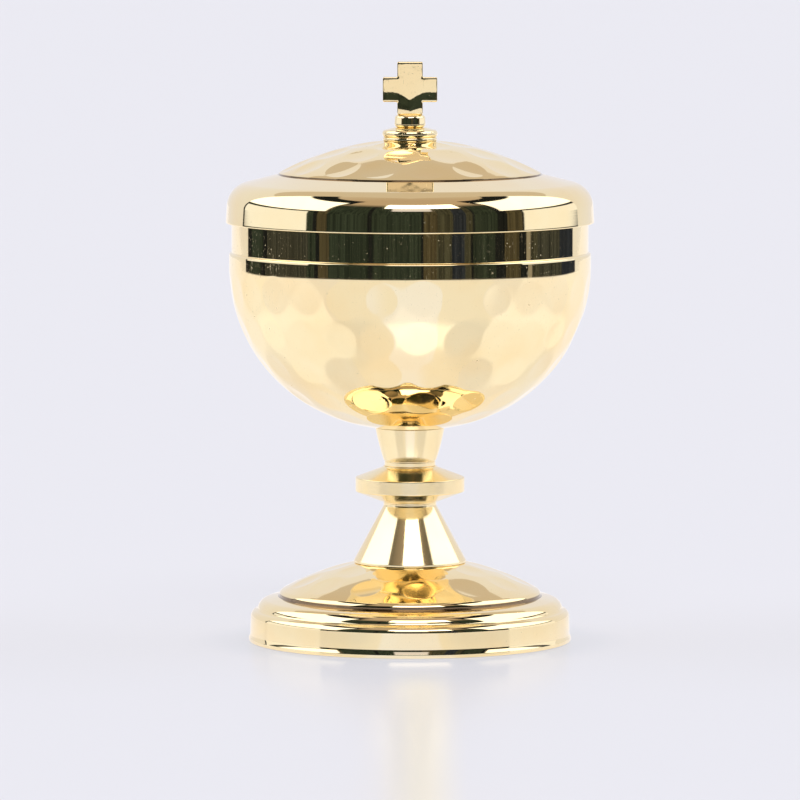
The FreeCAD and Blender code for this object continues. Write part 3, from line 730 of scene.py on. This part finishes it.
# A turn is a direction in degrees, from 0 in front of the vessel to 180 behind it, and a rise is the
# angle above the horizon.
# the dim room all round, from left to right: (turn where a surface starts, colour)
ROOM = [
    (-180, BLACK), (-124, GREEN), (-110, BLACK), (-106, GREY), (-70, GREEN), (-64, BLACK), (-61, BROWN),
    (-54, GREEN), (-27, BLACK), (-25, GREEN), (6, BLACK), (8, BROWN), (16, OLIVE), (26, BLUE), (34, OLIVE),
    (38, BLACK), (40, GREEN), (55, BLACK), (63, BROWN), (74, BLACK), (84, OLIVE), (89, GREY), (112, BLUE),
]
# what is painted over the room, in this order: (turns, rises, softness of the edges, colour)
PANELS = [
    ((80.5, 84), (-8, -1.5), 0.3, WINDOW),
    ((-12, 14), (24, 38), 1.0, FRONT_PANEL),
    ((-127, -68), (-0.5, 14), 0.5, LOW_PANEL),
    ((76, 133), (-0.5, 14), 0.5, LOW_PANEL),
    ((-138, -50), (50, 66), 0.5, BLACK),
    ((54, 137), (50, 66), 0.5, BLACK),
    ((-138, -56), (18, 56), 1.0, SIDE_PANEL),
    ((60, 137), (18, 56), 1.0, SIDE_PANEL),
    ((-18, 35), (37, 54), 1.0, SOFT_BOX),
    ((130, 200), (39, 100), 0.4, BACK_CEILING),
    ((-200, -129), (39, 100), 0.4, BACK_CEILING),
    ((130, 200), (-30, 39.5), 0.4, WALL),
    ((-200, -129), (-30, 39.5), 0.4, WALL),
]


def turn_of(tree, x, y):
    """Direction from the vessel's axis in degrees, from 0 in front to 180 behind."""
    return product(tree, maths(tree, "ARCTAN2", x, product(tree, y, -1.0)), DEGREES)


def floor_glow(tree, x, y):
    """The paper's own glow: one for the camera, and a brighter one for the metal's reflections.

    A patch runs from one turn or distance in metres to another, with the softness of its edges. A
    fade has only its two ends. The camera's glow holds a painted shadow by the foot and a painted
    reflection of the stem; the reflections' glow holds painted light patches at the sides, a painted
    reflection of a soft box in front and a painted shade ring round the vessel.
    """
    left_side, right_side = (-99, -45, 2.0), (53, 115, 2.0)
    front_turns, open_turns = (-17, 17, 1.5), (-24, 24, 8.0)
    front_fades, shade_ring = (0.5, 0.8), (0.10, 0.22, 0.04)
    streak_across, streak_along = (-0.004, 0.010, 0.007), (-0.45, -0.10, 0.04)
    contact_shadow_fades, contact_shadow_share = (0.054, 0.074), 0.4
    turn = turn_of(tree, x, y)
    radius = maths(tree, "SQRT", total(tree, product(tree, x, x), product(tree, y, y)))
    # painted light: brighter patches on the floor at both sides, shown only to reflections
    sides = maths(tree, "MAXIMUM", between(tree, turn, *left_side), between(tree, turn, *right_side))
    # painted reflection: a soft box's light on the floor in front, shown only to reflections
    front = product(tree, between(tree, turn, *front_turns), ramp(tree, radius, *front_fades, 1.0, 0.0))
    ahead = between(tree, turn, *open_turns)
    # painted shade: a darker ring on the floor round the vessel, except ahead, shown only to reflections
    shade = product(tree, between(tree, radius, *shade_ring), maths(tree, "SUBTRACT", 1.0, ahead))
    lit = mix_colour(tree, sides, UNSEEN_GLOW, SIDE_LIGHT_PATCH)
    lit = mix_colour(tree, front, lit, FRONT_BOX_REFLECTION)
    lit = mix_colour(tree, shade, lit, RING_SHADE)
    # painted reflection: a warm streak of the stem's reflection on the floor before the foot
    reflection_streak = product(tree, between(tree, x, *streak_across), between(tree, y, *streak_along))
    # painted shadow: the floor darkens towards the foot
    contact_shadow = product(tree, ramp(tree, radius, *contact_shadow_fades, 1.0, 0.0), contact_shadow_share)
    shown = mix_colour(tree, contact_shadow, mix_colour(tree, reflection_streak, SEEN_GLOW, STREAK_REFLECTION), SHADE_GLOW)
    seen = add_node(tree, "ShaderNodeLightPath").outputs["Is Camera Ray"]
    colour = mix_colour(tree, seen, lit, shown)
    return add_node(tree, "ShaderNodeEmission", (), {0: colour, 1: 1.0}).outputs[0]


def floor_material():
    """Pale glowing paper with a faint soft gloss, fading out towards its edge and clear from below."""
    near, far, depth_share = 1.25, 1.4, 0.15
    gloss_share, gloss_roughness = 0.16, 0.16
    material = bpy.data.materials.new("studio_floor")
    material.use_nodes = True
    tree = material.node_tree
    shader = tree.nodes["Principled BSDF"]
    shader.inputs["Base Color"].default_value = FLOOR
    shader.inputs["Roughness"].default_value = 1.0
    shader.inputs["Specular IOR Level"].default_value = 0.0
    sheen = add_node(tree, "ShaderNodeBsdfAnisotropic", (), {"Roughness": gloss_roughness})
    shares = {0: gloss_share, 1: shader.outputs[0], 2: sheen.outputs[0]}
    paper = add_node(tree, "ShaderNodeMixShader", (), shares)
    x, y, _ = split(tree, add_node(tree, "ShaderNodeTexCoord").outputs["Object"])
    glowing = add_node(tree, "ShaderNodeAddShader", (), {0: paper.outputs[0], 1: floor_glow(tree, x, y)})
    behind, ahead = maths(tree, "MAXIMUM", y, 0.0), maths(tree, "MINIMUM", y, 0.0)
    away = total(tree, product(tree, behind, depth_share), ahead)
    reach = add_node(tree, "ShaderNodeCombineXYZ", (), {0: x, 1: away}).outputs[0]
    length = add_node(tree, "ShaderNodeVectorMath", {"operation": "LENGTH"}, {0: reach}).outputs["Value"]
    clear = add_node(tree, "ShaderNodeBsdfTransparent")
    below = add_node(tree, "ShaderNodeNewGeometry").outputs["Backfacing"]
    opaque = product(tree, ramp(tree, length, near, far, 1.0, 0.0), maths(tree, "SUBTRACT", 1.0, below))
    shares = {0: opaque, 1: clear.outputs[0], 2: glowing.outputs[0]}
    blend = add_node(tree, "ShaderNodeMixShader", (), shares)
    tree.links.new(blend.outputs[0], tree.nodes["Material Output"].inputs["Surface"])
    return material


def make_floor():
    """A sheet of paper just under the vessel that runs far back."""
    mesh = bpy.data.meshes.new("floor")
    half_width, depth, below = 1.45, 9.0, 0.0002
    corners = [(-half_width, -half_width, 0), (half_width, -half_width, 0)]
    corners += [(half_width, depth, 0), (-half_width, depth, 0)]
    mesh.from_pydata(corners, [], [(0, 1, 2, 3)])
    mesh.materials.append(floor_material())
    floor = bpy.data.objects.new("floor", mesh)
    floor.location.z = -below
    bpy.context.scene.collection.objects.link(floor)


def studio_light():
    """Soft boxes, white walls and a dim room, painted by direction; the camera sees a pale wall."""
    stripes_across, stripes_up = 0.9, 0.06
    ceiling_starts, ceiling_full = 40, 56
    world = bpy.data.worlds.new("studio")
    bpy.context.scene.world = world
    world.use_nodes = True
    tree = world.node_tree
    x, y, z = split(tree, add_node(tree, "ShaderNodeTexCoord").outputs["Generated"])
    turn = turn_of(tree, x, y)
    rise = product(tree, maths(tree, "ARCSINE", z), DEGREES)
    place = product(tree, total(tree, turn, 180.0), 1 / 360)
    room = add_node(tree, "ShaderNodeValToRGB", (), {0: place})
    room.color_ramp.interpolation = "CONSTANT"
    stops = room.color_ramp.elements
    while len(stops) < len(ROOM):
        stops.new(1.0)
    for stop, (start, colour) in zip(stops, ROOM):
        stop.position = (start + 180) / 360
        stop.color = colour
    overhead = mix_colour(tree, ramp(tree, y, low=-0.3, high=0.6), CEILING, BACK_CEILING)
    across, up = product(tree, turn, stripes_across), product(tree, rise, stripes_up)
    spread = add_node(tree, "ShaderNodeCombineXYZ", (), {0: across, 1: up}).outputs[0]
    fine = noise(tree, spread, 1.0, detail=5.0, roughness=0.75)
    fine = ramp(tree, fine, low=0.35, high=0.65, to_low=0.45, to_high=1.6)
    inputs = {0: room.outputs[0], "Scale": fine}
    striped = add_node(tree, "ShaderNodeVectorMath", {"operation": "SCALE"}, inputs).outputs[0]
    colour = mix_colour(tree, ramp(tree, rise, ceiling_starts, ceiling_full), striped, overhead)
    for turns, rises, soft, painted in PANELS:
        share = product(tree, between(tree, turn, *turns, soft), between(tree, rise, *rises, soft))
        colour = mix_colour(tree, share, colour, painted)
    light = add_node(tree, "ShaderNodeBackground", (), {0: colour, 1: 1.0})
    wall_light = add_node(tree, "ShaderNodeBackground", (), {0: WALL, 1: 1.0})
    seen = add_node(tree, "ShaderNodeLightPath").outputs["Is Camera Ray"]
    shares = {0: seen, 1: light.outputs[0], 2: wall_light.outputs[0]}
    blend = add_node(tree, "ShaderNodeMixShader", (), shares)
    tree.links.new(blend.outputs[0], tree.nodes["World Output"].inputs["Surface"])


def overhead_light():
    """A very wide soft light that brightens the floor but shows in no reflection."""
    data = bpy.data.lights.new("overhead", "SUN")
    data.energy, data.angle, data.color = 0.4, math.radians(100), (0.99, 0.99, 1.0)
    lamp = bpy.data.objects.new("overhead", data)
    lamp.visible_glossy = False
    bpy.context.scene.collection.objects.link(lamp)


def make_camera():
    """A long lens in front of the vessel, a little above it."""
    data = bpy.data.cameras.new("camera")
    data.sensor_width, data.lens = 36.0, 337.0
    camera = bpy.data.objects.new("camera", data)
    target, distance, pitch = Vector((-0.00325, 0.0, 0.0785)), 2.44, math.radians(4.95)
    camera.location = target + distance * Vector((0.0, -math.cos(pitch), math.sin(pitch)))
    camera.rotation_euler = (math.pi / 2 - pitch, 0.0, 0.0)
    data.clip_start, data.clip_end = 0.1, 50.0
    bpy.context.scene.collection.objects.link(camera)
    bpy.context.scene.camera = camera


make_floor()
studio_light()
overhead_light()
make_camera()
bpy.context.scene.view_settings.view_transform = "Standard"
